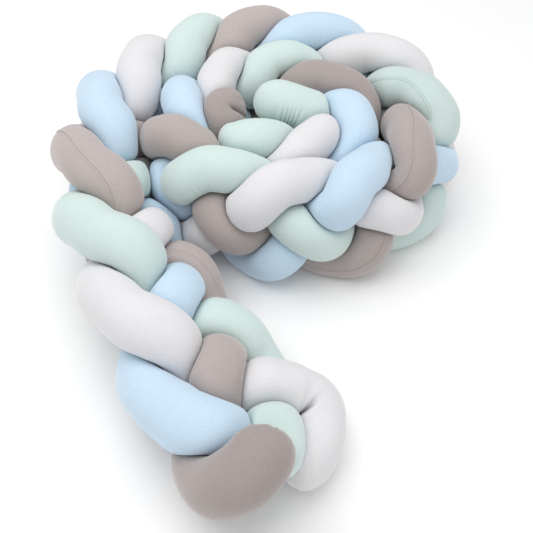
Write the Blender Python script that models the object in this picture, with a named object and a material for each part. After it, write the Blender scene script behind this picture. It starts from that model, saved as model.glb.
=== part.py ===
"""Plaited bumper for a cot: four stuffed velvet tubes woven into a flat braid, stood on its long edge in a coil.

Metres, +Z up. The braid stands on z = 0, and the origin lies under the middle of the part's box.
A place on the braid is given by its lobe, counted from the free end: at each whole number one of the
four strands comes over the top edge, in the order grey, blue, white, mint.
"""

import math

import bmesh
import bpy
import numpy as np
from mathutils import Vector, kdtree

# Driving dimensions
TUBE_WIDTH = 0.075  # a stuffed tube, lying free
REACH = 0.075  # from the braid's middle line to a tube's own middle line at an edge
DEPTH = 0.030  # from the braid's middle plane to a tube's middle line at a crossing
EDGE_WAVES = ((1, 1.0), (3, 0.07))  # a tube's way across the braid: waves in each turn, share of REACH
DEPTH_WAVES = ((1, 0.2), (3, 0.87), (5, -0.32))  # and its way in and out, over and under: share of DEPTH
QUARTER = math.pi / 2  # each strand follows the one before it by a quarter of the weave
SEAM_GAP = 0.0012  # left between two tubes that press on each other
MITRE = 0.93  # how near a tube's inner side comes to the hub of its own bend
END_ROUNDING = 0.035  # length over which a tube's sewn end draws in
END_SHARE = 0.35  # a sewn end's width as a share of the tube's
MOST_SWELL = 1.16  # a pressed tube keeps its girth by swelling this much at most
SWELL_ROUNDS = 3
BLUNTNESS = 9  # how sharply a pressed flat meets the round of its tube

# How finely the solids are cut
BEVEL_RESOLUTION = 6  # sixteen sides to a tube
TUBE_SIDES = 4 + 2 * BEVEL_RESOLUTION
RING_STEP = 0.010  # between the rings of a tube
TUBE_TRIANGLES = 3000  # a tube's triangles are merged down to this many
ON_FLOOR = 0.0004  # points nearer than this to the floor lie on it
LANE_STEP = 0.012  # between the points of a middle line while it settles
PRESS_STEP = 0.006  # between the points of the neighbours that press on a tube
WELD = 1e-5
CLEARING_ROUNDS = 8
CLEARING_SHARE = 0.6

# Settling of the middle lines against each other and the floor
SQUEEZED = 0.65  # middle lines are pushed apart while they are nearer than this share of the tubes' width
SETTLE_ROUNDS = 100
HOLD = 0.05  # share of each move taken back, towards the woven place
SEAT = 0.447  # lowest middle line as a share of the width, so that the undersides lie flat on the floor
OWN_REACH = 0.13  # nearer than this along itself, a tube doesn't push itself apart
OWN_PRESS = 0.015  # nearer than this along itself, a tube doesn't press on itself

MIDDLE = (-0.0180, 0.0140)  # the middle of the part's box, in the x and y of the rows below

# The middle of the braid, one row for each bend: lobe, x and y, how far the braid's width leans out of
# the upright and how far its top edge runs ahead of its bottom edge, both in degrees, and how full the
# braid is there. The free end lies on its outer face, and the coil stands.
ROUTE = (
    (-1.0, 0.060, -0.395, 76, 0, 1.0),
    (0.0, -0.005, -0.360, 74, 0, 1.0),
    (1.0, -0.085, -0.280, 68, 0, 1.0),
    (2.0, -0.160, -0.160, 50, 0, 1.0),
    (3.5, -0.245, 0.010, 30, 0, 1.0),
    (5.0, -0.275, 0.194, 11, 0, 0.98),
    (7.0, -0.155, 0.390, 0, 0, 0.95),
    (9.0, 0.065, 0.424, 0, 0, 0.93),
    (11.0, 0.246, 0.272, -6, 24, 0.91),
    (13.0, 0.168, 0.050, -8, 32, 0.90),
    (15.0, -0.066, 0.029, -4, 24, 0.90),
    (17.0, -0.163, 0.198, -5, 10, 0.89),
    (19.0, -0.002, 0.342, 0, 0, 0.88),
    (21.0, 0.124, 0.182, 0, 0, 0.88),
    (23.0, -0.036, 0.118, 0, 0, 0.88),
    (25.0, -0.125, 0.300, 0, 0, 0.88),
)

# Each strand's sewn ends, one row for each bend: lobe, then the distance across the braid as a share
# of REACH and out of its plane as a share of DEPTH. The free end's rows start at the very end.
FREE_ENDS = {
    "grey": ((-0.15, 0.36, -1.5), (-0.21, 0.66, -1.3), (-0.18, 0.95, -0.9), (-0.06, 1.1, -0.3), (0.14, 1.12, 0.35)),
    "blue": ((0.08, 0.25, 1.0), (0.19, 0.45, 0.4), (0.31, 0.66, -0.2)),
    "white": ((-0.28, 0.15, 0.9), (-0.49, -0.31, 0.7), (-0.46, -0.82, 0.35), (-0.09, -1.12, -0.1)),
    "mint": ((-0.1, 0.8, -0.1), (-0.08, 0.62, -0.4), (0.01, 0.33, -0.6)),
}

# The same at the grey tube's inner end, which turns in over the top edge; its last row is the very end.
GREY_TIP = ((24.0, 1.1, -0.3), (24.1, 1.1, -1.3), (24.15, 1.05, -2.2))

# The mint tube leaves the weave inside the coil, rises and folds back over it: x, y, z, and how full.
FOLDED_BACK = (
    (-0.013, 0.176, 0.112, 0.88),
    (0.029, 0.206, 0.092, 0.9),
    (0.072, 0.214, 0.112, 0.92),
    (0.079, 0.203, 0.152, 0.95),
    (0.038, 0.199, 0.177, 1.0),
    (-0.005, 0.208, 0.180, 1.0),
    (-0.038, 0.222, 0.178, 0.9),
)

# Where each strand's regular weave starts and stops, in lobes
WOVEN = {"grey": (0.35, 23.75), "blue": (0.6, 24.25), "white": (0.35, 24.4), "mint": (0.3, 23.55)}
STRANDS = tuple(WOVEN)
LANE_POINTS = 900  # points read along a strand's woven stretch
BLEND_POINTS = (10, 45, 80)  # those of them that its end's curve also runs through
END_POINTS = 400

# Finishes: linear colour and roughness
FINISHES = {
    "grey": (0.448, 0.402, 0.388),
    "blue": (0.60, 0.78, 0.92),
    "white": (0.82, 0.80, 0.82),
    "mint": (0.64, 0.79, 0.71),
}
VELVET_ROUGHNESS = 0.9
COLLECTION = "plaited_bumper"


def unit(rows):
    return rows / np.linalg.norm(rows, axis=-1, keepdims=True)


class Spline:
    """A natural cubic curve through rows of values, one row at each knot."""

    def __init__(self, knots, values):
        self.knots = np.asarray(knots, float)
        self.values = np.asarray(values, float)
        self.steps = np.diff(self.knots)
        count = len(self.knots)
        bends = np.eye(count)
        right = np.zeros_like(self.values)
        for i in range(1, count - 1):
            before, after = self.steps[i - 1], self.steps[i]
            bends[i, i - 1 : i + 2] = before, 2 * (before + after), after
            rise = (self.values[i + 1] - self.values[i]) / after
            right[i] = 6 * (rise - (self.values[i] - self.values[i - 1]) / before)
        self.bends = np.linalg.solve(bends, right)

    def __call__(self, at):
        at = np.atleast_1d(np.asarray(at, float))
        i = np.clip(np.searchsorted(self.knots, at) - 1, 0, len(self.steps) - 1)
        step = self.steps[i][:, None]
        left = (self.knots[i + 1] - at)[:, None]
        past = (at - self.knots[i])[:, None]
        cubic = (self.bends[i] * left**3 + self.bends[i + 1] * past**3) / (6 * step)
        start = self.values[i] / step - self.bends[i] * step / 6
        end = self.values[i + 1] / step - self.bends[i + 1] * step / 6
        return cubic + start * left + end * past


def through(points):
    """A smooth curve through a few points, as END_POINTS points."""
    steps = np.linalg.norm(np.diff(points[:, :3], axis=0), axis=1)
    knots = np.concatenate([[0], np.cumsum(steps**0.7)])
    return Spline(knots, points)(np.linspace(0, knots[-1], END_POINTS))


def along(points):
    return np.concatenate([[0], np.cumsum(np.linalg.norm(np.diff(points[:, :3], axis=0), axis=1))])


def even(points, step):
    """The same line with its points a step apart."""
    run = along(points)
    at = np.linspace(0, run[-1], max(4, round(run[-1] / step)) + 1)
    return np.column_stack([np.interp(at, run, column) for column in points.T])


def braid_frame(lobe):
    """The braid's middle, the directions across its width and out of its plane, and how full it is."""
    table = np.array(ROUTE)
    degree = math.pi / 180
    route = Spline(table[:, 0], table[:, 1:] * (1, 1, degree, degree, 1))

    def middle(at):
        rows = route(at)
        high = np.hypot(REACH * np.cos(rows[:, 2]), DEPTH * np.sin(rows[:, 2]))
        return np.column_stack([rows[:, :2] - MIDDLE, rows[:, 4] * (TUBE_WIDTH / 2 + high)]), rows[:, 2:]

    lobe = np.asarray(lobe, float)
    places, (lean, slant, full) = middle(lobe)[0], middle(lobe)[1].T[:, :, None]
    nudge = 1e-3
    travel = unit(middle(lobe + nudge)[0] - middle(lobe - nudge)[0])
    outward = unit(np.cross((0, 0, 1), travel))
    upward = np.cross(travel, outward)
    across = np.cos(lean) * upward + np.sin(lean) * outward + np.tan(slant) * travel
    return places, across, np.cos(lean) * outward - np.sin(lean) * upward, full


def in_braid(rows):
    """Rows of lobe, share of REACH across and share of DEPTH out, as points and how full the tube is there."""
    rows = np.asarray(rows, float)
    places, across, out, full = braid_frame(rows[:, 0])
    points = places + full * (rows[:, 1:2] * REACH * across + rows[:, 2:3] * DEPTH * out)
    return np.hstack([points, full])


def waves(turn, shares, wave):
    return sum(share * wave(count * turn) for count, share in shares)


def woven(strand):
    """The regular stretch of a strand's middle line: one wave across the braid to three out of its plane."""
    lobe = np.linspace(*WOVEN[strand], LANE_POINTS)
    turn = (lobe - STRANDS.index(strand)) * QUARTER
    return in_braid(np.column_stack([lobe, waves(turn, EDGE_WAVES, np.cos), waves(turn, DEPTH_WAVES, np.sin)]))


def with_end(lane, end):
    """The line with the curve through its last points and the end's points added after it."""
    lead = lane[[-1 - i for i in reversed(BLEND_POINTS)]]
    curve = through(np.vstack([lead, end]))
    joint = np.argmin(np.linalg.norm((curve - lead[-1])[:, :3], axis=1))
    return np.vstack([lane[: -BLEND_POINTS[0]], curve[joint + 1 :]])


def middle_line(strand):
    lane = woven(strand)
    lane = with_end(lane[::-1], in_braid(FREE_ENDS[strand])[::-1])[::-1]
    if strand == "grey":
        lane = with_end(lane, in_braid(GREY_TIP))
    if strand == "mint":
        lane = with_end(lane, np.array(FOLDED_BACK) - (*MIDDLE, 0, 0))
    return even(lane, LANE_STEP)


def spans(lanes):
    """Where each line's points start and stop when the lines are stacked."""
    ends = np.cumsum([0] + [len(lane) for lane in lanes])
    return list(zip(ends[:-1], ends[1:]))


def close_pairs(points, widths, near):
    """The pairs of points that are nearer than the tubes let them be, and by how much."""
    squares = (points**2).sum(axis=1)
    gaps = squares[:, None] + squares[None] - 2 * points @ points.T
    gaps[near] = np.inf
    least = SQUEEZED * (widths[:, None] + widths) / 2
    first, second = np.nonzero(gaps < least**2)
    apart = np.sqrt(np.maximum(gaps[first, second], 1e-8))
    return first, second, apart, least[first, second] - apart


def settle(lanes):
    """Pushes the middle lines apart and off the floor, evenly along each, and holds them near their places."""
    woven_at, full = np.split(np.vstack(lanes), [3], axis=1)
    widths = TUBE_WIDTH * full[:, 0]
    owner = np.concatenate([np.full(len(lane), i) for i, lane in enumerate(lanes)])
    place = np.concatenate([np.arange(len(lane)) for lane in lanes])
    near = (owner[:, None] == owner) & (np.abs(place[:, None] - place) * LANE_STEP < OWN_REACH)
    moved = np.zeros_like(woven_at)
    for _ in range(SETTLE_ROUNDS):
        points = woven_at + moved
        first, second, apart, short = close_pairs(points, widths, near)
        push = (points[first] - points[second]) * (0.5 * short / apart)[:, None]
        total = np.zeros_like(points)
        np.add.at(total, first, push)
        contacts = np.maximum(np.bincount(first, minlength=len(points)), 1)[:, None]
        moved = moved + total / contacts**0.8
        for start, stop in spans(lanes):
            moved[start:stop] = smooth(moved[start:stop], 3)
        moved *= 1 - HOLD
        moved[:, 2] = np.maximum(moved[:, 2], SEAT * widths - woven_at[:, 2])
    settled = np.hstack([woven_at + moved, full])
    return [settled[start:stop] for start, stop in spans(lanes)]


def smooth(rows, times):
    for _ in range(times):
        padded = np.concatenate([rows[:1], rows, rows[-1:]])
        rows = 0.25 * padded[:-2] + 0.5 * padded[1:-1] + 0.25 * padded[2:]
    return rows


def end_shares(run):
    """A tube's width at each place of its length, as a share: full, and rounded off at both sewn ends."""
    from_end = np.minimum(run, run[-1] - run) / END_ROUNDING
    inside = np.clip(1 - from_end, 0, 1)
    return END_SHARE + (1 - END_SHARE) * np.sqrt(1 - inside**2)


def tube_mesh(name, line, collection):
    """A round tube along the line with closed ends, as a bevelled curve turned into a mesh."""
    curve = bpy.data.curves.new(name, "CURVE")
    curve.dimensions = "3D"
    curve.bevel_depth = TUBE_WIDTH / 2
    curve.bevel_resolution = BEVEL_RESOLUTION
    curve.use_fill_caps = True
    spline = curve.splines.new("POLY")
    spline.points.add(len(line) - 1)
    for point, place, share in zip(spline.points, line, end_shares(along(line))):
        point.co = (*place[:3], 1)
        point.radius = share * place[3]
    guide = bpy.data.objects.new(name, curve)
    collection.objects.link(guide)
    bpy.context.view_layer.update()
    evaluated = guide.evaluated_get(bpy.context.evaluated_depsgraph_get())
    mesh = bpy.data.meshes.new_from_object(evaluated)
    bpy.data.objects.remove(guide)
    return mesh


def push_back(rays, centre, others, apart):
    """How far each ray goes from the centre before it is nearer to one of the others' points."""
    offsets = others - centre
    squares = (offsets**2).sum(axis=1)
    close = squares < apart**2
    facing = rays @ offsets[close].T
    with np.errstate(divide="ignore", invalid="ignore"):
        reach = np.where(facing > 0, squares[close] / (2 * facing), np.inf)
    return reach.min(axis=1, initial=np.inf)


def press_limits(rays, line, strand, lanes):
    """The length that the neighbours, the tube's own bends and the floor leave to each ray."""
    limits = np.empty(rays.shape[:2])
    dense = [even(lane, PRESS_STEP)[:, :3] for lane in lanes]
    own = dense[strand]
    own_run = along(own)
    others = np.vstack([lane for i, lane in enumerate(dense) if i != strand])
    apart = TUBE_WIDTH * MOST_SWELL
    for i, (centre, run) in enumerate(zip(line, along(line))):
        beyond = own[np.abs(own_run - run) > OWN_PRESS]
        others_leave = push_back(rays[i], centre, others, apart) - SEAM_GAP / 2
        limits[i] = np.minimum(others_leave, MITRE * push_back(rays[i], centre, beyond, apart))
    return limits


def blunt_min(free, limit):
    """The smaller of two lengths, with the corner between them rounded."""
    return (free**-BLUNTNESS + limit**-BLUNTNESS) ** (-1 / BLUNTNESS)


def girth(rings):
    return np.linalg.norm(rings - np.roll(rings, 1, axis=1), axis=2).sum(axis=1)


def tree_of(points):
    tree = kdtree.KDTree(len(points))
    for i, point in enumerate(points):
        tree.insert(point, i)
    tree.balance()
    return tree


def press(mesh, line, strand, lanes):
    """Flattens a round tube where it meets its neighbours and the floor, and lets it swell where it is free."""
    coords = np.empty(len(mesh.vertices) * 3, np.float32)
    mesh.vertices.foreach_get("co", coords)
    coords = coords.reshape(-1, 3).astype(float)
    line = line[:, :3]
    count = len(line) * TUBE_SIDES  # the two caps' own points come before the rings
    caps, rings = coords[:-count], coords[-count:]
    nearest = [np.argmin(((rings - cap) ** 2).sum(axis=1)) for cap in caps]
    rings = rings.reshape(len(line), TUBE_SIDES, 3)
    arms = rings - line[:, None]
    free = np.linalg.norm(arms, axis=2)
    rays = arms / free[:, :, None]
    limits = press_limits(rays, line, strand, lanes)
    with np.errstate(divide="ignore"):
        floor = np.where(rays[:, :, 2] < 0, line[:, None, 2] / -rays[:, :, 2], np.inf)
    swell = np.ones(len(line))
    for _ in range(SWELL_ROUNDS):
        reach = np.minimum(blunt_min(free * swell[:, None], limits), floor)
        pressed = line[:, None] + rays * reach[:, :, None]
        swell = np.clip(swell * girth(rings) / girth(pressed), 1, MOST_SWELL)
        swell = smooth(swell, 2)
    pressed = pressed.reshape(-1, 3)
    return np.vstack([pressed[nearest], pressed])


def merged_down(name, mesh, collection):
    """The same surface in fewer triangles, with small ones only where it bends."""
    guide = bpy.data.objects.new(name, mesh)
    collection.objects.link(guide)
    decimate = guide.modifiers.new("Merge", "DECIMATE")
    decimate.ratio = TUBE_TRIANGLES / len(mesh.polygons)
    bpy.context.view_layer.update()
    evaluated = guide.evaluated_get(bpy.context.evaluated_depsgraph_get())
    merged = bpy.data.meshes.new_from_object(evaluated)
    bpy.data.objects.remove(guide)
    return merged


def clear_neighbours(shell, strand, lanes):
    """Draws the surface in until its flat faces, too, lie nearer to their own middle line than to the others'."""
    dense = [even(lane, PRESS_STEP)[:, :3] for lane in lanes]
    own = tree_of(dense[strand])
    others = tree_of(np.vstack([lane for i, lane in enumerate(dense) if i != strand]))
    middles = {vert: own.find(vert.co)[0] for vert in shell.verts}
    for _ in range(CLEARING_ROUNDS):
        draw_in = dict.fromkeys(shell.verts, 0.0)
        for patch in [*shell.edges, *shell.faces]:
            middle = sum((vert.co for vert in patch.verts), Vector()) / len(patch.verts)
            over = own.find(middle)[2] - others.find(middle)[2] + SEAM_GAP
            for vert in patch.verts:
                draw_in[vert] = max(draw_in[vert], over)
        for vert, over in draw_in.items():
            vert.co += (middles[vert] - vert.co).normalized() * over * CLEARING_SHARE
    for vert in shell.verts:
        vert.co.z = 0.0 if vert.co.z < ON_FLOOR else vert.co.z


def velvet(name):
    material = bpy.data.materials.new(name)
    material.use_nodes = True
    shader = material.node_tree.nodes["Principled BSDF"]
    shader.inputs["Base Color"].default_value = (*FINISHES[name], 1)
    shader.inputs["Roughness"].default_value = VELVET_ROUGHNESS
    shader.inputs["Metallic"].default_value = 0
    return material


def make_strand(strand, lanes, collection):
    """One stuffed tube of the braid: a single closed solid of its own."""
    name = "strand_" + strand
    number = STRANDS.index(strand)
    line = even(lanes[number], RING_STEP)
    mesh = tube_mesh(name, line, collection)
    mesh.vertices.foreach_set("co", press(mesh, line, number, lanes).astype(np.float32).ravel())
    weld_and_triangulate(mesh)
    mesh = merged_down(name, mesh, collection)
    shell = bmesh.new()
    shell.from_mesh(mesh)
    clear_neighbours(shell, number, lanes)
    shell.to_mesh(mesh)
    shell.free()
    mesh.name = name
    mesh.materials.clear()
    mesh.materials.append(velvet(strand))
    mesh.shade_smooth()
    tube = bpy.data.objects.new(name, mesh)
    collection.objects.link(tube)
    return tube


def weld_and_triangulate(mesh):
    shell = bmesh.new()
    shell.from_mesh(mesh)
    bmesh.ops.remove_doubles(shell, verts=shell.verts, dist=WELD)
    bmesh.ops.triangulate(shell, faces=shell.faces)
    bmesh.ops.recalc_face_normals(shell, faces=shell.faces)
    shell.to_mesh(mesh)
    shell.free()


def clear_scene():
    for item in list(bpy.data.objects):
        bpy.data.objects.remove(item)


def main():
    clear_scene()
    collection = bpy.data.collections.new(COLLECTION)
    bpy.context.scene.collection.children.link(collection)
    lanes = settle([middle_line(strand) for strand in STRANDS])
    for strand in STRANDS:
        make_strand(strand, lanes, collection)


if __name__ == "__main__":
    main()
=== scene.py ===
"""Dresses the plaited cot bumper: four stuffed velvet tubes with their seams, stitches, folds and gathers.

Metres, +Z up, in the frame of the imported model. Each tube is laid along the same middle line as its solid,
pressed by the same neighbours, and cut finely enough for the cloth's own relief. A place on the braid is
given by its lobe, counted from the free end: at each whole number a strand comes over the top edge.
"""

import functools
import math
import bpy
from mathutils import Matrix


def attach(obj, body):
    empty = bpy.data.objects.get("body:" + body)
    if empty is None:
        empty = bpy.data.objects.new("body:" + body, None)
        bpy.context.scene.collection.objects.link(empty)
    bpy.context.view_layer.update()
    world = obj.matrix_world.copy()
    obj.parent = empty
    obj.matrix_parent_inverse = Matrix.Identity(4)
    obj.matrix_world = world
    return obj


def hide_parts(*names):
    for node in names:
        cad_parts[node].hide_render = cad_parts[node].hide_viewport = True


bl_info = {
    "name": "Plaited Bumper",
    "version": (1, 0, 0),
    "blender": (4, 5, 0),
    "location": "3D View > Sidebar > Bumper",
    "description": "Lays four stuffed velvet tubes in a coiled braid, with seams, stitches and a plain stage",
    "category": "Object",
}

import bpy
import numpy as np
from bpy.props import FloatProperty, FloatVectorProperty, IntProperty, PointerProperty
from mathutils import Vector
from mathutils.bvhtree import BVHTree

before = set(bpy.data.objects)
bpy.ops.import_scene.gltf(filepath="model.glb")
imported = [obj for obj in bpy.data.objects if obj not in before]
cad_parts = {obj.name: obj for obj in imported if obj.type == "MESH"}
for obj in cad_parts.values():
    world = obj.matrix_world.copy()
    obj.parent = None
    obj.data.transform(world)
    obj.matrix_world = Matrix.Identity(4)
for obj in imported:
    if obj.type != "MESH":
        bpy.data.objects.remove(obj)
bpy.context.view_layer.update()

STRANDS = ("grey", "blue", "white", "mint")

# How a strand weaves towards the edges and out of the plane: waves in each of its turns, and their shares
EDGE_WAVES = ((1, 1.0), (3, 0.07))
DEPTH_WAVES = ((1, 0.2), (3, 0.87), (5, -0.32))
QUARTER = math.pi / 2

# How the middle lines settle against each other and the floor
LANE_STEP = 0.012  # between the points of a middle line
SQUEEZED = 0.65  # share of their mean width that two tubes' middle lines keep apart
SEAT = 0.447  # share of its width that a tube's middle line keeps off the floor
SETTLE_ROUNDS = 100
SETTLE_SMOOTHING = 3
CROWDING = 0.8  # at 0 the pushes of all neighbours add up, at 1 their mean counts
HOLD = 0.05  # share of the way back to the woven place, each round
OWN_REACH = 0.13  # length of its own tube that doesn't push a point

# How a tube is pressed by its neighbours, by its own bends and by the floor
PRESS_STEP = 0.006  # between the neighbours' points that press
OWN_PRESS = 0.015  # length of its own tube that doesn't press a ring
TUBE_GAP = 0.0012  # between two tubes
MITRE = 0.93  # share of the way to the middle of its own bend that a tube fills
BLUNTNESS = 9  # the lower, the rounder the edge of a pressed place
MOST_SWELL = 1.16
SWELL_ROUNDS = 3
SWELL_SMOOTHING = 2
BEND_SMOOTHING = 4
FIRST_SIDE = (0.3, 0.2, 1.0)  # any way that no tube starts in
TINY = 1e-9

# How a tube is rounded off to its sewn ends: over what length, and to what share of its width
END_ROUNDING = 0.035
END_SHARE = 0.35

# The middle of the part's box, in the places that the tables below give
MIDDLE = (-0.0180, 0.0140)

# The middle of the braid: lobe, x, y, lean and slant in degrees, fullness
ROUTE = (
    (-1.0, 0.060, -0.395, 76, 0, 1.0),
    (0.0, -0.005, -0.360, 74, 0, 1.0),
    (1.0, -0.085, -0.280, 68, 0, 1.0),
    (2.0, -0.160, -0.160, 50, 0, 1.0),
    (3.5, -0.245, 0.010, 30, 0, 1.0),
    (5.0, -0.275, 0.194, 11, 0, 0.98),
    (7.0, -0.155, 0.390, 0, 0, 0.95),
    (9.0, 0.065, 0.424, 0, 0, 0.93),
    (11.0, 0.246, 0.272, -6, 24, 0.91),
    (13.0, 0.168, 0.050, -8, 32, 0.90),
    (15.0, -0.066, 0.029, -4, 24, 0.90),
    (17.0, -0.163, 0.198, -5, 10, 0.89),
    (19.0, -0.002, 0.342, 0, 0, 0.88),
    (21.0, 0.124, 0.182, 0, 0, 0.88),
    (23.0, -0.036, 0.118, 0, 0, 0.88),
    (25.0, -0.125, 0.300, 0, 0, 0.88),
)

# Each strand's free end: lobe, share of the reach across, share of the depth out; the very end first
FREE_ENDS = {
    "grey": (
        (-0.15, 0.36, -1.5),
        (-0.21, 0.66, -1.3),
        (-0.18, 0.95, -0.9),
        (-0.06, 1.1, -0.3),
        (0.14, 1.12, 0.35),
    ),
    "blue": ((0.08, 0.25, 1.0), (0.19, 0.45, 0.4), (0.31, 0.66, -0.2)),
    "white": ((-0.28, 0.15, 0.9), (-0.49, -0.31, 0.7), (-0.46, -0.82, 0.35), (-0.09, -1.12, -0.1)),
    "mint": ((-0.1, 0.8, -0.1), (-0.08, 0.62, -0.4), (0.01, 0.33, -0.6)),
}

# The grey tube's inner end, turned in over the top edge: the same values, the very end last
GREY_TIP = ((24.0, 1.1, -0.3), (24.1, 1.1, -1.3), (24.15, 1.05, -2.2))

# The mint tube's inner end, folded back over the coil: x, y, z, fullness, lobe
FOLDED_BACK = (
    (-0.013, 0.176, 0.112, 0.88, 24.0),
    (0.029, 0.206, 0.092, 0.9, 24.4),
    (0.072, 0.214, 0.112, 0.92, 24.8),
    (0.079, 0.203, 0.152, 0.95, 25.2),
    (0.038, 0.199, 0.177, 1.0, 25.6),
    (-0.005, 0.208, 0.180, 1.0, 26.0),
    (-0.038, 0.222, 0.178, 0.9, 26.4),
)

# The lobes between which each strand is woven, and how its ends are joined on
WOVEN = {"grey": (0.35, 23.75), "blue": (0.6, 24.25), "white": (0.35, 24.4), "mint": (0.3, 23.55)}
LANE_POINTS = 900
END_POINTS = 400
BLEND_POINTS = (10, 45, 80)  # woven points, counted back from the last, that an end's curve runs through
KNOT_SPREAD = 0.7  # how far the gaps between a curve's knots follow those between its points
LOBE_COLUMN = 4  # of a middle line's x, y, z, fullness and lobe

# The long seam of each tube: which way it faces in the room where it shows (lobe, x, y, z), and elsewhere
SEAM_SHOWS = {
    "grey": (
        (2.18, 0.77, -0.09, 0.63),
        (2.33, 0.70, -0.22, 0.68),
        (2.49, 0.36, -0.08, 0.93),
        (3.53, -0.04, -0.70, 0.72),
        (3.64, -0.01, -0.50, 0.87),
        (3.87, -0.12, -0.21, 0.97),
        (4.23, -0.48, 0.22, 0.85),
        (11.62, 0.11, 0.42, 0.90),
        (11.93, 0.0, 0.15, 0.99),
        (12.17, 0.01, -0.29, 0.96),
        (12.46, -0.33, -0.65, 0.69),
        (13.43, 0.59, -0.57, 0.57),
        (13.60, 0.01, -0.99, 0.12),
        (13.78, -0.26, -0.97, 0.0),
        (14.04, -0.22, -0.98, 0.01),
    ),
    "blue": (),
    "white": (),
    "mint": (
        (10.64, -0.64, -0.12, 0.76),
        (10.86, -0.59, -0.22, 0.78),
        (11.08, -0.41, -0.37, 0.83),
        (11.27, -0.26, -0.61, 0.75),
    ),
}
SEAM_HIDES = (0.0, 0.5, -0.87)
SEAM_LOBES = range(-1, 27)
SEAM_CLEAR = 1.3  # lobes from where a seam shows to where it is turned away
SEAM_SMOOTHING = 20
SEAM_END = 0.03  # from the tube's end to the seam's
SEAM_STEP = 0.003
SEAM_RADIUS = 0.0375  # from a tube's middle line to its seam

# Across the seam's strip: place from the seam line, and height over the cloth
SEAM_PROFILE = (
    (-0.0056, -0.0006),
    (-0.0040, 0.0003),
    (-0.0025, 0.0011),
    (-0.0011, 0.0012),
    (0.0000, 0.0001),
    (0.0011, 0.0012),
    (0.0025, 0.0011),
    (0.0040, 0.0003),
    (0.0056, -0.0006),
)

# How the stitches draw a seam in, and how it gives way where a neighbour leaves it too little room
PUCKER_PITCH = 0.0105
PUCKER_LIFT = 0.25
SEAM_ROOM = 0.002
SEAM_SUNK = 0.0006

# A stitch is a bowed rod of thread: what its middle and ends stand over and under the seam's line in widths,
# how far its shoulders are from its middle, how thin they are, and its shade beside the velvet's
THREAD_SIDES = 6
THREAD_RISE = 0.6
THREAD_SINK = 0.4
THREAD_SHOULDER = 0.6
THREAD_TAPER = 0.8
STITCH_SHADE = {"grey": 0.42, "blue": 0.8, "white": 0.8, "mint": 0.8}

# How the sleeves are blown up
CLOTH_FRAMES = 20
CLOTH = {
    "quality": 5,
    "mass": 0.3,
    "tension_stiffness": 15.0,
    "compression_stiffness": 15.0,
    "shear_stiffness": 5.0,
    "bending_stiffness": 0.5,
    "use_pressure": True,
}

# How the cloth is eased out inside a tight bend, where its rings lie closer than these shares of their step
UNFOLD_ROUNDS = 30
UNFOLD_BELOW = 0.35
UNFOLD_OVER = 0.25
UNFOLD_SHARE = 0.7

# The cap of a sewn end: each ring's share of the last ring, and how far it lies past it
END_CAP = ((0.75, 0.0022), (0.45, 0.0028), (0.2, 0.0012))

# How the cloth folds inside a bend: how squeezed it is where folds start and are full, and how they run
FOLD_STARTS = 0.42
FOLD_FULL = 0.85
MOST_SQUEEZED = 0.97
FOLD_GAIN = 2
FOLD_PITCH = 0.017
FOLD_DRIFT = 4
FOLD_SMOOTHING = 30
FOLD_WAVER = 0.4
FOLD_SHARPNESS = 0.6
FOLD_STRENGTH = (0.6, 0.4, 0.037)  # mean, swing, and length along the tube over which it swings

# The pleats at the sewn ends
END_PLEATS = 14
PLEAT_LENGTH = 0.45 * END_ROUNDING
PLEAT_WAVER = 2
WAVER_TURNS = 3  # how often folds and pleats waver in one turn round a tube

# Where the cloth is gathered: strand, lobe, the way it faces, pitch, depth, length and angle of its folds
GATHERS = (
    ("mint", 25.68, (-0.12, -0.98, -0.02), 0.0068, 0.0046, 0.018, 0.58),
    ("mint", 15.2, (-0.1, -0.98, -0.15), 0.0100, 0.0012, 0.030, 0.35),
    ("white", 0.0, (-0.55, -0.5, 0.7), 0.0120, 0.0009, 0.026, 0.5),
)
GATHER_RINGS = 2  # how many more rings a gather has
GATHER_REACH = 1.5  # of its length, over which it has them
GATHER_WAVER = 1.5
GATHER_SHARPNESS = 0.7

# The stuffing's unevenness, and how relief gives way to the floor and to a neighbour
SEED = 11
SEED_STEP = 7
RIPPLES = 24
RIPPLE_SPREAD = (0.5, 1.1)
UNEVEN_SCALE = 0.07
FLAT_BELOW = 0.01  # height under which the relief fades out
MOST_DRAWN_IN = 0.0008
FAR_OFF = 0.1  # stands for a neighbour at any greater distance

# How light or dark the pile looks along a tube (lobe and shade), from the way the pile lies and from painted
# shade; and how much its grain and noise vary it
NAP_AND_PAINTED_SHADE = {
    # painted shade: the grey is darker at its free end and in the coil's middle, where it lies in shade
    "grey": (
        (-0.4, 0.72),
        (0.0, 0.84),
        (0.6, 0.97),
        (3.0, 1.03),
        (9.0, 1.06),
        (11.0, 0.92),
        (14.5, 0.9),
        (17.0, 0.99),
        (20.0, 0.82),
    ),
    "blue": ((0.0, 1.0),),
    "white": ((0.0, 1.0),),
    "mint": ((0.0, 1.0), (8.0, 1.0), (11.0, 0.93), (13.0, 1.0)),
}
SPECKLE = {"grey": 0.1, "blue": 0.06, "white": 0.05, "mint": 0.05}
DRIFT = 0.015
MOTTLE = 0.01

# Scale and detail of the noise in the velvet and the thread, and the values that most of it lies between
DRIFT_NOISE = (16, 2.0)
MOTTLE_NOISE = (120, 3.0)
GRAIN_NOISE = (750, 2.0)
PILE_NOISE = (600, 4.0)
TWIST_NOISE = (1500, 1.0)
NOISE_RANGE = (0.3, 0.7)

# The surfaces of the velvet, the thread and the floor
PILE_ROUGHNESS = 0.9
PILE_SHINE = 0.15
PILE_HEIGHT = 0.0008
SHEEN_ROUGHNESS = 0.45
SHEEN_PALENESS = 0.5
THREAD_ROUGHNESS = 0.7
THREAD_SHADOW = 0.8
FLOOR_ROUGHNESS = 0.9
FLOOR_SHINE = 0.1
FLOOR_HALF = 4.0

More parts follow.
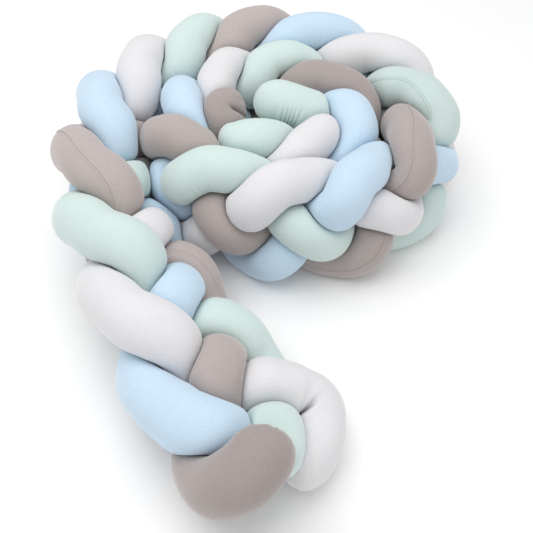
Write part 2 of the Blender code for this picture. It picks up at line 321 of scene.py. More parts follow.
# The light of the room, and each lamp's name, place, size and watts; the lamps face one point
ROOM_LIGHT = 0.57
LAMPS = (("overhead", (-0.3, 0.1, 2.2), 2.4, 36.5), ("front", (0.5, -2.2, 1.3), 2.0, 6.0))
LAMPS_FACE = (0, 0, 0.1)

# The photo's camera: its angle down, its distance, and the photo's side, focal length and centre in pixels
CAMERA_ELEVATION = math.radians(48.96)
CAMERA_DISTANCE = 1.248
SENSOR_WIDTH = 36
PHOTO_SIDE = 533
PHOTO_FOCUS = 744.0
PHOTO_CENTRE = (275.8, 267.5)


class BumperSizes(bpy.types.PropertyGroup):
    """Sizes of the braid and of its cloth."""

    tube_width: FloatProperty(
        name="Tube Width",
        description="Width of one stuffed tube, lying free",
        default=0.075,
        min=0.05,
        max=0.1,
        unit="LENGTH",
    )
    reach: FloatProperty(
        name="Reach",
        description="From the braid's middle line to a tube's middle line at an edge",
        default=0.075,
        min=0.05,
        max=0.1,
        unit="LENGTH",
    )
    depth: FloatProperty(
        name="Depth",
        description="From the braid's middle plane to a tube's middle line at a crossing",
        default=0.030,
        min=0.02,
        max=0.05,
        unit="LENGTH",
    )
    ring_step: FloatProperty(
        name="Ring Step",
        description="Distance between the rings of a tube, before its faces are halved",
        default=0.006,
        min=0.002,
        max=0.02,
        unit="LENGTH",
    )
    sides: IntProperty(
        name="Sides",
        description="Points round a tube, before its faces are halved",
        default=30,
        min=12,
        max=90,
    )
    pressure: FloatProperty(
        name="Pressure",
        description="Pressure of the stuffing as the cloth is blown up",
        default=4.0,
        min=0.0,
        max=20.0,
    )
    cloth_cap: FloatProperty(
        name="Cloth Cap",
        description="How far the cloth may move as it is blown up",
        default=0.004,
        min=0.0,
        max=0.02,
        unit="LENGTH",
    )
    unevenness: FloatProperty(
        name="Unevenness",
        description="How much the stuffing swells and thins along a tube",
        default=0.0004,
        min=0.0,
        max=0.004,
        unit="LENGTH",
    )
    pleat_depth: FloatProperty(
        name="Pleat Depth",
        description="Depth of the pleats at a sewn end",
        default=0.0018,
        min=0.0,
        max=0.005,
        unit="LENGTH",
    )
    fold_depth: FloatProperty(
        name="Fold Depth",
        description="Depth of the folds on the inner side of a bend",
        default=0.0028,
        min=0.0,
        max=0.006,
        unit="LENGTH",
    )
    stitch_pitch: FloatProperty(
        name="Stitch Pitch",
        description="Distance from one stitch to the next",
        default=0.0038,
        min=0.002,
        max=0.01,
        unit="LENGTH",
    )
    stitch_length: FloatProperty(
        name="Stitch Length",
        description="Length of the thread that shows in one stitch",
        default=0.0025,
        min=0.001,
        max=0.008,
        unit="LENGTH",
    )
    thread_width: FloatProperty(
        name="Thread Width",
        description="Width of the sewing thread",
        default=0.0008,
        min=0.0002,
        max=0.002,
        unit="LENGTH",
    )


class BumperColours(bpy.types.PropertyGroup):
    """Colours and surface of the velvet and the room."""

    grey: FloatVectorProperty(
        name="Grey",
        description="Colour of the taupe grey tube",
        subtype="COLOR",
        size=3,
        default=(0.456, 0.397, 0.383),
    )
    blue: FloatVectorProperty(
        name="Blue",
        description="Colour of the pale blue tube",
        subtype="COLOR",
        size=3,
        default=(0.556, 0.710, 0.848),
    )
    white: FloatVectorProperty(
        name="White",
        description="Colour of the off-white tube",
        subtype="COLOR",
        size=3,
        default=(0.733, 0.721, 0.738),
    )
    mint: FloatVectorProperty(
        name="Mint",
        description="Colour of the pale mint tube",
        subtype="COLOR",
        size=3,
        default=(0.604, 0.726, 0.700),
    )
    floor: FloatVectorProperty(
        name="Floor",
        description="Colour of the floor",
        subtype="COLOR",
        size=3,
        default=(0.97, 0.97, 0.97),
    )
    sheen: FloatProperty(
        name="Sheen",
        description="How much the pile lights up at the edges",
        default=0.8,
        min=0.0,
        max=1.0,
        subtype="FACTOR",
    )
    pile: FloatProperty(
        name="Pile",
        description="How rough the velvet's pile looks",
        default=0.3,
        min=0.0,
        max=1.0,
        subtype="FACTOR",
    )


def unit(rows):
    return rows / np.linalg.norm(rows, axis=-1, keepdims=True)


class Spline:
    """A natural cubic curve through rows of values, one row at each knot."""

    def __init__(self, knots, values):
        self.knots = np.asarray(knots, float)
        self.values = np.asarray(values, float)
        self.steps = np.diff(self.knots)
        count = len(self.knots)
        bends = np.eye(count)
        right = np.zeros_like(self.values)
        for i in range(1, count - 1):
            before, after = self.steps[i - 1], self.steps[i]
            bends[i, i - 1 : i + 2] = before, 2 * (before + after), after
            rise = (self.values[i + 1] - self.values[i]) / after
            right[i] = 6 * (rise - (self.values[i] - self.values[i - 1]) / before)
        self.bends = np.linalg.solve(bends, right)

    def __call__(self, at):
        at = np.atleast_1d(np.asarray(at, float))
        i = np.clip(np.searchsorted(self.knots, at) - 1, 0, len(self.steps) - 1)
        step = self.steps[i][:, None]
        left = (self.knots[i + 1] - at)[:, None]
        past = (at - self.knots[i])[:, None]
        cubic = (self.bends[i] * left**3 + self.bends[i + 1] * past**3) / (6 * step)
        start = self.values[i] / step - self.bends[i] * step / 6
        end = self.values[i + 1] / step - self.bends[i + 1] * step / 6
        return cubic + start * left + end * past


def along(points):
    return np.concatenate([[0], np.cumsum(np.linalg.norm(np.diff(points[:, :3], axis=0), axis=1))])


def between(places, run, rows):
    """Rows of values, read off at places between theirs."""
    return np.column_stack([np.interp(places, run, column) for column in rows.T])


def even(points, step):
    """The same line with its points a step apart."""
    run = along(points)
    return between(np.linspace(0, run[-1], round(run[-1] / step) + 1), run, points)


def through(points):
    """A smooth curve through a few points, as END_POINTS points."""
    steps = np.linalg.norm(np.diff(points[:, :3], axis=0), axis=1)
    knots = np.concatenate([[0], np.cumsum(steps**KNOT_SPREAD)])
    return Spline(knots, points)(np.linspace(0, knots[-1], END_POINTS))


def smooth(rows, times):
    for _ in range(times):
        padded = np.concatenate([rows[:1], rows, rows[-1:]])
        rows = 0.25 * padded[:-2] + 0.5 * padded[1:-1] + 0.25 * padded[2:]
    return rows


def waves(turn, shares, wave):
    return sum(share * wave(count * turn) for count, share in shares)


class Braid:
    """The braid's middle lines for given sizes: where each tube runs, how full it is and at what lobe."""

    def __init__(self, tube_width, reach, depth):
        self.tube_width, self.reach, self.depth = tube_width, reach, depth
        table = np.array(ROUTE)
        degree = math.pi / 180
        self.route = Spline(table[:, 0], table[:, 1:] * (1, 1, degree, degree, 1))
        self.lanes = self.settle([self.middle_line(strand) for strand in STRANDS])
        self.dense = [even(lane, PRESS_STEP)[:, :3] for lane in self.lanes]

    def middle(self, at):
        rows = self.route(at)
        high = np.hypot(self.reach * np.cos(rows[:, 2]), self.depth * np.sin(rows[:, 2]))
        return np.column_stack([rows[:, :2] - MIDDLE, rows[:, 4] * (self.tube_width / 2 + high)]), rows[:, 2:]

    def frame_at(self, lobe):
        """The braid's middle, the directions across its width and out of its plane, and how full it is."""
        lobe = np.asarray(lobe, float)
        places, rest = self.middle(lobe)
        lean, slant, full = rest.T[:, :, None]
        nudge = 1e-3
        travel = unit(self.middle(lobe + nudge)[0] - self.middle(lobe - nudge)[0])
        outward = unit(np.cross((0, 0, 1), travel))
        upward = np.cross(travel, outward)
        across = np.cos(lean) * upward + np.sin(lean) * outward + np.tan(slant) * travel
        return places, across, np.cos(lean) * outward - np.sin(lean) * upward, full

    def in_braid(self, rows):
        """Rows of lobe, share of the reach across and of the depth out, as points, fullness and lobe."""
        rows = np.asarray(rows, float)
        places, across, out, full = self.frame_at(rows[:, 0])
        points = places + full * (rows[:, 1:2] * self.reach * across + rows[:, 2:3] * self.depth * out)
        return np.hstack([points, full, rows[:, :1]])

    def woven(self, strand):
        lobe = np.linspace(*WOVEN[strand], LANE_POINTS)
        turn = (lobe - STRANDS.index(strand)) * QUARTER
        rows = np.column_stack([lobe, waves(turn, EDGE_WAVES, np.cos), waves(turn, DEPTH_WAVES, np.sin)])
        return self.in_braid(rows)

    def middle_line(self, strand):
        lane = self.woven(strand)
        lane = with_end(lane[::-1], self.in_braid(FREE_ENDS[strand])[::-1])[::-1]
        if strand == "grey":
            lane = with_end(lane, self.in_braid(GREY_TIP))
        if strand == "mint":
            lane = with_end(lane, np.array(FOLDED_BACK) - (*MIDDLE, 0, 0, 0))
        return even(lane, LANE_STEP)

    def settle(self, lanes):
        """Pushes the middle lines apart and off the floor, smoothly, and holds them near their places."""
        woven_at, rest = np.split(np.vstack(lanes), [3], axis=1)
        widths = self.tube_width * rest[:, 0]
        owner = np.concatenate([np.full(len(lane), i) for i, lane in enumerate(lanes)])
        place = np.concatenate([np.arange(len(lane)) for lane in lanes])
        near = (owner[:, None] == owner) & (np.abs(place[:, None] - place) * LANE_STEP < OWN_REACH)
        ends = np.cumsum([0] + [len(lane) for lane in lanes])
        spans = list(zip(ends[:-1], ends[1:]))
        moved = np.zeros_like(woven_at)
        for _ in range(SETTLE_ROUNDS):
            points = woven_at + moved
            first, second, apart, short = close_pairs(points, widths, near)
            push = (points[first] - points[second]) * (0.5 * short / apart)[:, None]
            total = np.zeros_like(points)
            np.add.at(total, first, push)
            contacts = np.maximum(np.bincount(first, minlength=len(points)), 1)[:, None]
            moved = moved + total / contacts**CROWDING
            for start, stop in spans:
                moved[start:stop] = smooth(moved[start:stop], SETTLE_SMOOTHING)
            moved *= 1 - HOLD
            moved[:, 2] = np.maximum(moved[:, 2], SEAT * widths - woven_at[:, 2])
        settled = np.hstack([woven_at + moved, rest])
        return [settled[start:stop] for start, stop in spans]


def with_end(lane, end):
    """The line with the curve through its last points and the end's points added after it."""
    lead = lane[[-1 - i for i in reversed(BLEND_POINTS)]]
    curve = through(np.vstack([lead, end]))
    joint = np.argmin(np.linalg.norm((curve - lead[-1])[:, :3], axis=1))
    return np.vstack([lane[: -BLEND_POINTS[0]], curve[joint + 1 :]])


def close_pairs(points, widths, near):
    """The pairs of points that are nearer than the tubes let them be, and by how much."""
    squares = (points**2).sum(axis=1)
    gaps = squares[:, None] + squares[None] - 2 * points @ points.T
    gaps[near] = np.inf
    least = SQUEEZED * (widths[:, None] + widths) / 2
    first, second = np.nonzero(gaps < least**2)
    apart = np.sqrt(np.maximum(gaps[first, second], TINY))
    return first, second, apart, least[first, second] - apart


@functools.lru_cache(maxsize=2)
def braid_for(tube_width, reach, depth):
    return Braid(tube_width, reach, depth)


def turning_least(line):
    """The way along a line, and two directions square to it that turn as little as they can."""
    ahead = unit(np.gradient(line, axis=0))
    side = np.empty_like(ahead)
    side[0] = unit(np.cross(ahead[0], FIRST_SIDE))
    for i in range(1, len(line)):
        turned = side[i - 1] - (side[i - 1] @ ahead[i]) * ahead[i]
        side[i] = turned / np.linalg.norm(turned)
    return ahead, side, np.cross(ahead, side)


def seam_turns(strand, lobes, side, up):
    """The angle round the tube at which its long seam lies, for each ring."""
    shown = SEAM_SHOWS[strand]
    hidden = [lobe for lobe in SEAM_LOBES if all(abs(lobe - row[0]) > SEAM_CLEAR for row in shown)]
    rows = np.array(sorted([*((lobe, *SEAM_HIDES) for lobe in hidden), *shown]))
    at = np.array([np.argmin(np.abs(lobes - lobe)) for lobe in rows[:, 0]])
    at, first = np.unique(at, return_index=True)
    facing = rows[first, 1:]
    angle = np.unwrap(np.arctan2((facing * up[at]).sum(axis=1), (facing * side[at]).sum(axis=1)))
    return smooth(np.interp(np.arange(len(lobes)), at, angle), SEAM_SMOOTHING)


def push_back(rays, centre, others, apart):
    """How far each ray goes from the centre before it is nearer to one of the others' points."""
    offsets = others - centre
    squares = (offsets**2).sum(axis=1)
    close = squares < apart**2
    facing = rays @ offsets[close].T
    with np.errstate(divide="ignore", invalid="ignore"):
        reach = np.where(facing > 0, squares[close] / (2 * facing), np.inf)
    return reach.min(axis=1, initial=np.inf)


def ring_places(strand, run, lobes, step):
    """Where the rings of a tube lie along it: a step apart, and closer where its cloth is gathered."""
    at = np.linspace(0, run[-1], LANE_POINTS)
    crowd = np.ones(len(at))
    for gathered, lobe, _, _, _, length, _ in GATHERS:
        if gathered == strand:
            middle = run[np.argmin(np.abs(lobes - lobe))]
            near = np.exp(-(((at - middle) / (GATHER_REACH * length)) ** 4))
            crowd = np.maximum(crowd, 1 + GATHER_RINGS * near)
    count = np.concatenate([[0], np.cumsum((crowd[1:] + crowd[:-1]) / 2 * np.diff(at) / step)])
    return np.interp(np.linspace(0, count[-1], round(count[-1]) + 1), count, at)


def press_limits(rays, line, shares, number, braid):
    """The length that the neighbours and the tube's own bends leave to each ray of each ring."""
    limits = np.empty(rays.shape[:2])
    own = braid.dense[number]
    own_run = along(own)
    others = np.vstack([lane for i, lane in enumerate(braid.dense) if i != number])
    apart = braid.tube_width * MOST_SWELL
    for i, (centre, run) in enumerate(zip(line, shares * own_run[-1])):
        beyond = own[np.abs(own_run - run) > OWN_PRESS]
        others_leave = push_back(rays[i], centre, others, apart) - TUBE_GAP / 2
        limits[i] = np.minimum(others_leave, MITRE * push_back(rays[i], centre, beyond, apart))
    return limits


def blunt_min(free, limit):
    """The smaller of two lengths, with the corner between them rounded."""
    return (free**-BLUNTNESS + limit**-BLUNTNESS) ** (-1 / BLUNTNESS)


def girth(rings):
    return np.linalg.norm(rings - np.roll(rings, 1, axis=1), axis=2).sum(axis=1)


def end_shares(run):
    """A tube's width at each place of its length, as a share: full, and rounded off at both sewn ends."""
    inside = np.clip(1 - np.minimum(run, run[-1] - run) / END_ROUNDING, 0, 1)
    return END_SHARE + (1 - END_SHARE) * np.sqrt(1 - inside**2)


class Tube:
    """One stuffed tube of the braid: its middle line, its seam, and its rings as neighbours press them."""

    def __init__(self, strand, sizes):
        self.strand = strand
        self.number = STRANDS.index(strand)
        braid = braid_for(sizes.tube_width, sizes.reach, sizes.depth)
        lane = braid.lanes[self.number]
        run = along(lane)
        places = ring_places(strand, run, lane[:, LOBE_COLUMN], sizes.ring_step)
        fine = Spline(run, lane)(places)
        self.line, full, self.lobes = fine[:, :3], fine[:, 3], fine[:, LOBE_COLUMN]
        self.run = along(self.line)
        self.ahead, self.side, self.up = turning_least(self.line)
        self.bend = np.gradient(smooth(self.ahead, BEND_SMOOTHING), self.run, axis=0)
        self.seam = seam_turns(strand, self.lobes, self.side, self.up)
        rays = self.rays(np.linspace(0, 2 * math.pi, sizes.sides, endpoint=False)[None])
        radius = sizes.tube_width / 2 * full * end_shares(self.run)
        limits = press_limits(rays, self.line, places / run[-1], self.number, braid)
        with np.errstate(divide="ignore"):
            floor = np.where(rays[..., 2] < 0, self.line[:, None, 2] / -rays[..., 2], np.inf)
        rings = self.line[:, None] + rays * radius[:, None, None]
        swell = np.ones(len(places))
        for _ in range(SWELL_ROUNDS):
            reach = np.minimum(blunt_min((radius * swell)[:, None], limits), floor)
            pressed = self.line[:, None] + rays * reach[..., None]
            swell = np.clip(swell * girth(rings) / girth(pressed), 1, MOST_SWELL)
            swell = smooth(swell, SWELL_SMOOTHING)
        self.limits = np.minimum(limits, floor)
        self.ways = rays
        self.rings = self.unfolded(pressed)

    def unfolded(self, rings):
        """The rings with the cloth eased out where it would run back on itself inside a tight bend."""
        apart = np.linalg.norm(self.line[2:] - self.line[:-2], axis=1, keepdims=True)
        for _ in range(UNFOLD_ROUNDS):
            ahead = (rings[2:] - rings[:-2]) * self.ahead[1:-1, None]
            progress = np.pad(ahead.sum(axis=2) / apart, ((1, 1), (0, 0)), constant_values=1)
            tight = np.clip((UNFOLD_BELOW - progress) / UNFOLD_OVER, 0, 1)
            spread = [np.roll(tight, way, axis) for way in (-1, 1) for axis in (0, 1)]
            tight = np.maximum.reduce([tight, *spread])
            tight[[0, -1]] = 0
            beside = np.roll(rings, 1, axis=1) + np.roll(rings, -1, axis=1)
            along_it = np.roll(rings, 1, axis=0) + np.roll(rings, -1, axis=0)
            rings = rings + UNFOLD_SHARE * tight[..., None] * ((beside + along_it) / 4 - rings)
        return rings

    def rays(self, turns):
        """Directions out of the tube at angles round it, one row for each ring."""
        return np.cos(turns)[..., None] * self.side[:, None] + np.sin(turns)[..., None] * self.up[:, None]


class FixedSizes:
    """A fixed copy of the sizes, so that each tube is worked out once."""

    names = tuple(BumperSizes.__annotations__)

    def __init__(self, *values):
        for name, value in zip(self.names, values):
            setattr(self, name, value)


@functools.lru_cache(maxsize=8)
def tube_of_sizes(strand, *values):
    return Tube(strand, FixedSizes(*values))


def tube_for(strand, sizes):
    return tube_of_sizes(strand, *(getattr(sizes, name) for name in FixedSizes.names))


def mesh_object(name, points, faces, material=None):
    mesh = bpy.data.meshes.new(name)
    mesh.from_pydata(np.asarray(points).tolist(), [], faces)
    mesh.validate()
    mesh.shade_smooth()
    if material:
        mesh.materials.append(material)
    made = bpy.data.objects.new(name, mesh)
    bpy.context.scene.collection.objects.link(made)
    return made


def grid_faces(rows, columns, closed):
    """Quads between rows of points; closed joins each row's last point to its first."""
    here = np.arange(columns if closed else columns - 1)
    beside = (here + 1) % columns
    start = np.arange(rows - 1)[:, None] * columns
    quads = [start + here, start + beside, start + columns + beside, start + columns + here]
    return np.stack(quads, axis=-1).reshape(-1, 4).tolist()


def sleeve(tube):
    """The pressed tube as a closed mesh that knows how far along the tube each point is."""
    made = mesh_object(tube.strand + "_tube", *closed_grid(tube.rings))
    columns = tube.rings.shape[1]
    cap = len(END_CAP) * columns + 1
    run = np.concatenate([np.repeat(tube.run, columns), np.repeat(tube.run[[0, -1]], cap)])
    lay_values(made.data, "run", run)
    return made


def lay_values(mesh, name, values):
    """Keeps a value with each point of a mesh."""
    mesh.attributes.new(name, "FLOAT", "POINT").data.foreach_set("value", values.astype(np.float32))


def round_pairs(count):
    """Each place round a ring, with the next one."""
    return [(k, (k + 1) % count) for k in range(count)]


def closed_grid(rings):
    """Points and faces of rings with their ends drawn in: the rings' own points come first."""
    rows, columns = rings.shape[:2]
    points = [rings.reshape(-1, 3)]
    faces = grid_faces(rows, columns, True)
    pairs = round_pairs(columns)
    start = rows * columns
    for ring, inner, first in ((rings[0], rings[1], 0), (rings[-1], rings[-2], start - columns)):
        centre = ring.mean(axis=0)
        way = unit(centre - inner.mean(axis=0))
        edge, cap = first, []
        for share, forward in END_CAP:
            points.append(centre + (ring - centre) * share + way * forward)
            cap += [(edge + a, edge + b, start + b, start + a) for a, b in pairs]
            edge, start = start, start + columns
        points.append((centre + way * END_CAP[-1][1])[None])
        cap += [(edge + a, edge + b, start) for a, b in pairs]
        start += 1
        faces += cap if first else [face[::-1] for face in cap]
    return np.vstack(points), faces


def vectors(mesh, kind):
    """The places (co) or the normals (normal) of a mesh's points."""
    values = np.empty(len(mesh.vertices) * 3, np.float32)
    mesh.vertices.foreach_get(kind, values)
    return values.reshape(-1, 3).astype(float)


def set_places(mesh, points):
    """Moves a mesh's points, with none of them under the floor."""
    points[:, 2] = np.maximum(points[:, 2], 0)
    mesh.vertices.foreach_set("co", points.astype(np.float32).ravel())
    mesh.update()


def bake_modifiers(thing):
    """Puts the object's modifiers into its mesh."""
    bpy.context.view_layer.update()
    evaluated = thing.evaluated_get(bpy.context.evaluated_depsgraph_get())
    mesh = bpy.data.meshes.new_from_object(evaluated)
    thing.modifiers.clear()
    old, thing.data = thing.data, mesh
    bpy.data.meshes.remove(old)
    mesh.name = thing.name


def inflate(things, sizes):
    """Blows the sleeves up as cloth under pressure, and keeps what the cap on their movement allows."""
    scene = bpy.context.scene
    for thing in things:
        cloth = thing.modifiers.new("Cloth", "CLOTH")
        for name, value in CLOTH.items():
            setattr(cloth.settings, name, value)
        cloth.settings.uniform_pressure_force = sizes.pressure
        cloth.settings.effector_weights.gravity = 0
        cloth.collision_settings.use_collision = False
        cloth.point_cache.frame_start = 1
        cloth.point_cache.frame_end = CLOTH_FRAMES
    for number in range(1, CLOTH_FRAMES + 1):
        scene.frame_set(number)
    blown = []
    for thing in things:
        start = vectors(thing.data, "co")
        moved = vectors(thing.evaluated_get(bpy.context.evaluated_depsgraph_get()).data, "co") - start
        thing.modifiers.clear()
        far = np.linalg.norm(moved, axis=1, keepdims=True)
        blown.append(moved * np.minimum(1, sizes.cloth_cap / np.maximum(far, TINY)))
    scene.frame_set(1)
    return blown


def lay_nap_and_painted_shade(mesh, strand, lobes):
    """Keeps with each point how light the pile looks there: the way the pile lies, with painted shade."""
    lay_values(mesh, "nap", np.interp(lobes, *np.array(NAP_AND_PAINTED_SHADE[strand]).T))


def puff_out(thing, tube, moved):
    """Moves each point out by what the cloth was blown up there, as far as its neighbours leave it room."""
    points = vectors(thing.data, "co")
    count = tube.limits.size
    ways, limits = tube.ways.reshape(-1, 3), tube.limits.ravel()
    middles = np.repeat(tube.line, tube.limits.shape[1], axis=0)
    out = (moved[:count] * ways).sum(axis=1)
    reach = ((points[:count] - middles) * ways).sum(axis=1)
    points[:count] += ways * np.clip(np.minimum(out, limits - reach), 0, None)[:, None]
    set_places(thing.data, points)


def relief(thing, tube, sizes):
    """The cloth's own relief: folds, pleats, gathers and soft unevenness of the stuffing."""
    mesh = thing.data
    points, out = vectors(mesh, "co"), vectors(mesh, "normal")
    run = np.empty(len(points), np.float32)
    mesh.attributes["run"].data.foreach_get("value", run)
    arm = points - between(run, tube.run, tube.line)
    side, up, bend = (between(run, tube.run, rows) for rows in (tube.side, tube.up, tube.bend))
    turn = np.arctan2((arm * up).sum(axis=1), (arm * side).sum(axis=1))
    folds = inner_folds(tube, run, turn, np.clip((arm * bend).sum(axis=1), 0, MOST_SQUEEZED))
    pleats = end_pleats(tube, run, turn)
    uneven = ripple(points, UNEVEN_SCALE, SEED + SEED_STEP * tube.number)
    rise = sizes.unevenness * uneven - sizes.fold_depth * folds - sizes.pleat_depth * pleats
    rise -= gathers(tube, run, turn)
    room = room_left(tube, run, turn, np.linalg.norm(arm, axis=1))
    rise = np.minimum(rise, np.maximum(room, -MOST_DRAWN_IN)) * np.clip(points[:, 2] / FLAT_BELOW, 0, 1)
    lay_nap_and_painted_shade(mesh, tube.strand, np.interp(run, tube.run, tube.lobes))
    set_places(mesh, points + out * rise[:, None])


def inner_folds(tube, run, turn, squeeze):
    """How deep the folds inside the bends are, as a share, where the cloth is squeezed together."""
    share = np.clip((squeeze - FOLD_STARTS) / (FOLD_FULL - FOLD_STARTS), 0, 1)
    share = share * share * (3 - 2 * share) * (1 - squeeze) * FOLD_GAIN
    random = np.random.default_rng(SEED + tube.number)
    drift = smooth(random.normal(size=len(tube.run)), FOLD_SMOOTHING)
    drift = np.interp(run, tube.run, drift) * FOLD_DRIFT
    phase = math.pi * (run / FOLD_PITCH + drift) + FOLD_WAVER * np.sin(WAVER_TURNS * turn)
    mean, swing, length = FOLD_STRENGTH
    strength = mean + swing * np.sin(run / length + tube.number)
    return share * strength * (1 - np.abs(np.sin(phase)) ** FOLD_SHARPNESS)


def end_pleats(tube, run, turn):
    """How deep the pleats at the sewn ends are, as a share."""
    near = np.exp(-np.maximum(np.minimum(run, tube.run[-1] - run), 0) / PLEAT_LENGTH)
    return near * (0.5 + 0.5 * np.cos(END_PLEATS * turn + PLEAT_WAVER * np.sin(WAVER_TURNS * turn)))


def room_left(tube, run, turn, reach):
    """How much further cloth at some reach from the tube's middle line could go before it met a neighbour."""
    rows, columns = tube.limits.shape
    limits = np.minimum(tube.limits, FAR_OFF)
    row = np.interp(run, tube.run, np.arange(rows))
    column = turn / (2 * math.pi) * columns
    i, k = np.minimum(row.astype(int), rows - 2), np.floor(column).astype(int)
    a, b = row - i, column - k
    k, beside = k % columns, (k + 1) % columns
    here = (1 - b) * limits[i, k] + b * limits[i, beside]
    ahead = (1 - b) * limits[i + 1, k] + b * limits[i + 1, beside]
    return (1 - a) * here + a * ahead - reach


def gathers(tube, run, turn):
    """The depth of the short folds where the cloth of a tube is gathered."""
    depth = np.zeros(len(run))
    for strand, lobe, facing, pitch, deep, length, angle in GATHERS:
        if strand != tube.strand:
            continue
        i = np.argmin(np.abs(tube.lobes - lobe))
        way = np.arctan2(tube.up[i] @ facing, tube.side[i] @ facing)
        off = (turn - way + math.pi) % (2 * math.pi) - math.pi
        past = run - tube.run[i]
        window = np.exp(-((past / length) ** 4) - (off / angle) ** 4)
        lines = np.abs(np.sin(math.pi * past / pitch + GATHER_WAVER * np.sin(past / pitch) + off))
        depth += deep * window * (1 - lines**GATHER_SHARPNESS)
    return depth


def ripple(points, scale, seed):
    """Soft seeded noise over points, about -1 to 1, with bumps about a scale across."""
    random = np.random.default_rng(seed)
    ways = unit(random.normal(size=(RIPPLES, 3))) * (2 * math.pi / scale)
    ways = ways * random.uniform(*RIPPLE_SPREAD, (RIPPLES, 1))
    turns = random.uniform(0, 2 * math.pi, RIPPLES)
    return np.sin(points @ ways.T + turns).sum(axis=-1) / math.sqrt(RIPPLES / 2)


def stuffed_tubes(sizes):
    """The four tubes' cloth: pressed sleeves, blown up, rounded off and given their relief."""
    tubes = [tube_for(strand, sizes) for strand in STRANDS]
    things = [sleeve(tube) for tube in tubes]
    for thing, tube, moved in zip(things, tubes, inflate(things, sizes)):
        puff_out(thing, tube, moved)
    for thing, tube in zip(things, tubes):
        round_off = thing.modifiers.new("Round", "SUBSURF")
        round_off.levels = round_off.render_levels = 1
        bake_modifiers(thing)
        relief(thing, tube, sizes)
        thing.data.shade_smooth()
    return dict(zip(STRANDS, things))


def spoke(turn, first, second):
    """The way at an angle from the first of two ways, towards the second."""
    return math.cos(turn) * first + math.sin(turn) * second


def seam_object(name, tube, thing, material):
    """A narrow strip of the same velvet along the tube's seam: two lifted edges turned in to a sunk line."""
    skin = BVHTree.FromObject(thing, bpy.context.evaluated_depsgraph_get())
    run = np.arange(SEAM_END, tube.run[-1] - SEAM_END, SEAM_STEP)
    middles, sides, ups = (between(run, tube.run, rows) for rows in (tube.line, tube.side, tube.up))
    turns = np.interp(run, tube.run, tube.seam)
    profile = np.array(SEAM_PROFILE)
    lifts = 1 + PUCKER_LIFT * np.sin(2 * math.pi * run / PUCKER_PITCH)
    rows = []
    for place, centre, side, up, turn, lift in zip(run, middles, unit(sides), unit(ups), turns, lifts):
        row = []
        skin_at = skin.ray_cast(centre, spoke(turn, side, up))[3] or SEAM_RADIUS
        room = room_left(tube, np.array([place]), np.array([turn]), skin_at)[0]
        free = min(max((room + TUBE_GAP / 2) / SEAM_ROOM, 0), 1)
        for offset, height in profile * (1, free) - (0, (1 - free) * SEAM_SUNK):
            way = spoke(turn + offset / SEAM_RADIUS, side, up)
            hit = skin.ray_cast(centre, way)[0]
            base = centre + way * SEAM_RADIUS if hit is None else np.array(hit)
            row.append(base + way * height * lift)
        rows.append(row)
    points = np.array(rows)
    points[..., 2] = np.maximum(points[..., 2], 0)
    strip = mesh_object(name, points.reshape(-1, 3), grid_faces(*points.shape[:2], False), material)
    lay_nap_and_painted_shade(strip.data, tube.strand, np.repeat(np.interp(run, tube.run, tube.lobes), len(profile)))
    return strip, points


def stitch_object(name, points, sizes, material):
    """Thread dashes that lie in the sunk line of a tube's seam."""
    sunk = len(SEAM_PROFILE) // 2
    line = points[:, sunk]
    lips = (points[:, sunk - 1] + points[:, sunk + 1]) / 2
    run = along(line)
    starts = np.arange(sizes.stitch_pitch, run[-1] - sizes.stitch_pitch, sizes.stitch_pitch)
    half, width = sizes.stitch_length / 2, sizes.thread_width
    outward = unit(between(starts, run, lips - line))
    middle = between(starts, run, line) + outward * width * THREAD_RISE
    ends = [between(at, run, line) - outward * width * THREAD_SINK for at in (starts - half, starts + half)]
    sideways = np.cross(unit(ends[1] - ends[0]), outward)
    shoulders = [THREAD_SHOULDER * end + (1 - THREAD_SHOULDER) * middle for end in ends]
    rounds = []
    for centre, share in ((shoulders[0], THREAD_TAPER), (middle, 1.0), (shoulders[1], THREAD_TAPER)):
        for k in range(THREAD_SIDES):
            way = spoke(2 * math.pi / THREAD_SIDES * k, outward, sideways)
            rounds.append(centre + way * width / 2 * share)
    shape = stitch_faces()
    count = len(rounds) + 2
    faces = [tuple(count * i + corner for corner in face) for i in range(len(starts)) for face in shape]
    places = np.stack([ends[0], *rounds, ends[1]], axis=1).reshape(-1, 3)
    places[:, 2] = np.maximum(places[:, 2], 0)
    return mesh_object(name, places, faces, material)


def stitch_faces():
    """The faces of one stitch: a point, three rings of THREAD_SIDES points, and a point."""
    pairs = round_pairs(THREAD_SIDES)
    faces = [(0, 1 + b, 1 + a) for a, b in pairs]
    for ring in (1, 1 + THREAD_SIDES):
        beyond = ring + THREAD_SIDES
        faces += [(ring + a, ring + b, beyond + b, beyond + a) for a, b in pairs]
    return faces + [(beyond + THREAD_SIDES, beyond + a, beyond + b) for a, b in pairs]


def set_inputs(made, **inputs):
    for name, value in inputs.items():
        made.inputs[name.replace("_", " ")].default_value = value
    return made


def surface(name, **inputs):
    """A new material with inputs of its shader set, and its node tree and shader."""
    material = bpy.data.materials.new(name)
    material.use_nodes = True
    tree = material.node_tree
    return material, tree, set_inputs(tree.nodes["Principled BSDF"], **inputs)


def noise(tree, place, scale, detail):
    """Noise over the places of the object."""
    made = set_inputs(tree.nodes.new("ShaderNodeTexNoise"), Scale=scale, Detail=detail)
    tree.links.new(place.outputs["Object"], made.inputs["Vector"])
    return made.outputs["Fac"]


